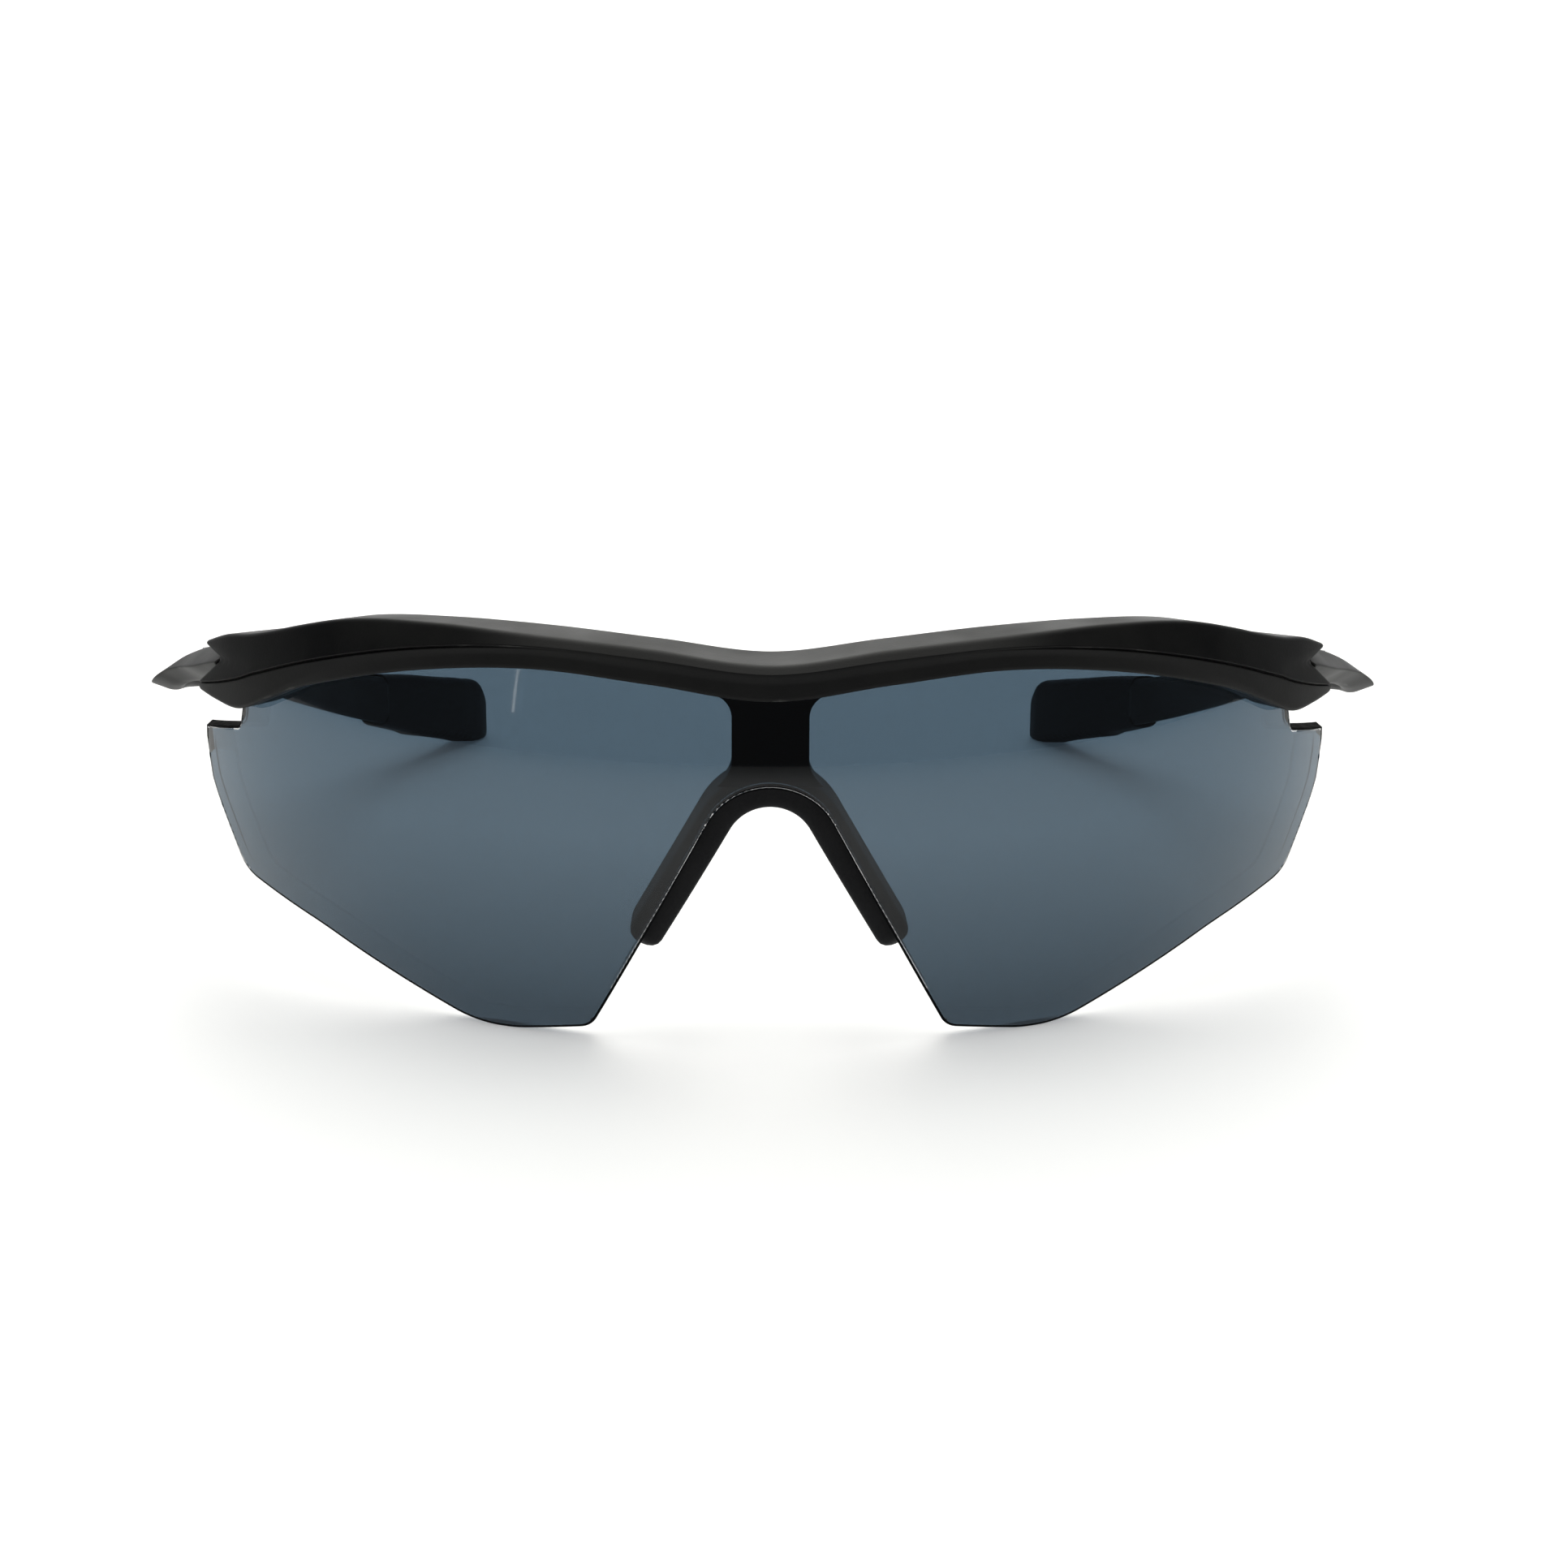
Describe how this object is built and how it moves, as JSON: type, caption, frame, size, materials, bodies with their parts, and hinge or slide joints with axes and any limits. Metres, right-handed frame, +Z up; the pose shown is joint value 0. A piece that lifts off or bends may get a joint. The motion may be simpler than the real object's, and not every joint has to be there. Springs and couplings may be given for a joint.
{
  "type": "wraparound sport sunglasses",
  "caption": "Wraparound sunglasses: one-piece smoke shield lens under a moulded half-rim brow, with a rubber nose pad and two folding temples with rubber ear socks.",
  "frame": {"origin": "On the table, under the middle of the glasses' overall box, in the pose in which they stand open on a table.", "axes": "+Z up; the lens faces -Y and the temples run back towards +Y; +X is the wearer's left, -X the wearer's right."},
  "size_m": [0.1524, 0.1568, 0.0446],
  "materials": {
    "frame_plastic": "fine grained matte black moulding",
    "smoke_lens": "polished, smoke grey tint",
    "soft_rubber": "satin black elastomer",
    "hinge_metal": "dark nickel satin",
    "screw_steel": "turned steel",
    "washer_nylon": "natural nylon"
  },
  "bodies": {
    "front": {"brow_frame": "frame_plastic", "lens": "smoke_lens", "nose_pad": "soft_rubber", "front_hinge_left": "hinge_metal", "front_hinge_right": "hinge_metal", "hinge_screw_left": "screw_steel", "hinge_screw_right": "screw_steel", "anchor_screw_left": "screw_steel", "anchor_screw_right": "screw_steel"},
    "temple_left": {"temple_arm_left": "frame_plastic", "temple_hinge_left": "hinge_metal", "temple_screw_left": "screw_steel", "hinge_washers_left": "washer_nylon", "ear_sock_left": "soft_rubber"},
    "temple_right": {"temple_arm_right": "frame_plastic", "temple_hinge_right": "hinge_metal", "temple_screw_right": "screw_steel", "hinge_washers_right": "washer_nylon", "ear_sock_right": "soft_rubber"}
  },
  "joints": [
    {"name": "temple_left_fold", "type": "hinge", "parent": "front", "child": "temple_left", "pos_m": [0.06081, -0.03807, 0.0347], "axis": [0, 0, 1], "range_deg": [0, 84]},
    {"name": "temple_right_fold", "type": "hinge", "parent": "front", "child": "temple_right", "pos_m": [-0.06081, -0.03807, 0.0347], "axis": [0, 0, -1], "range_deg": [0, 76]}
  ]
}
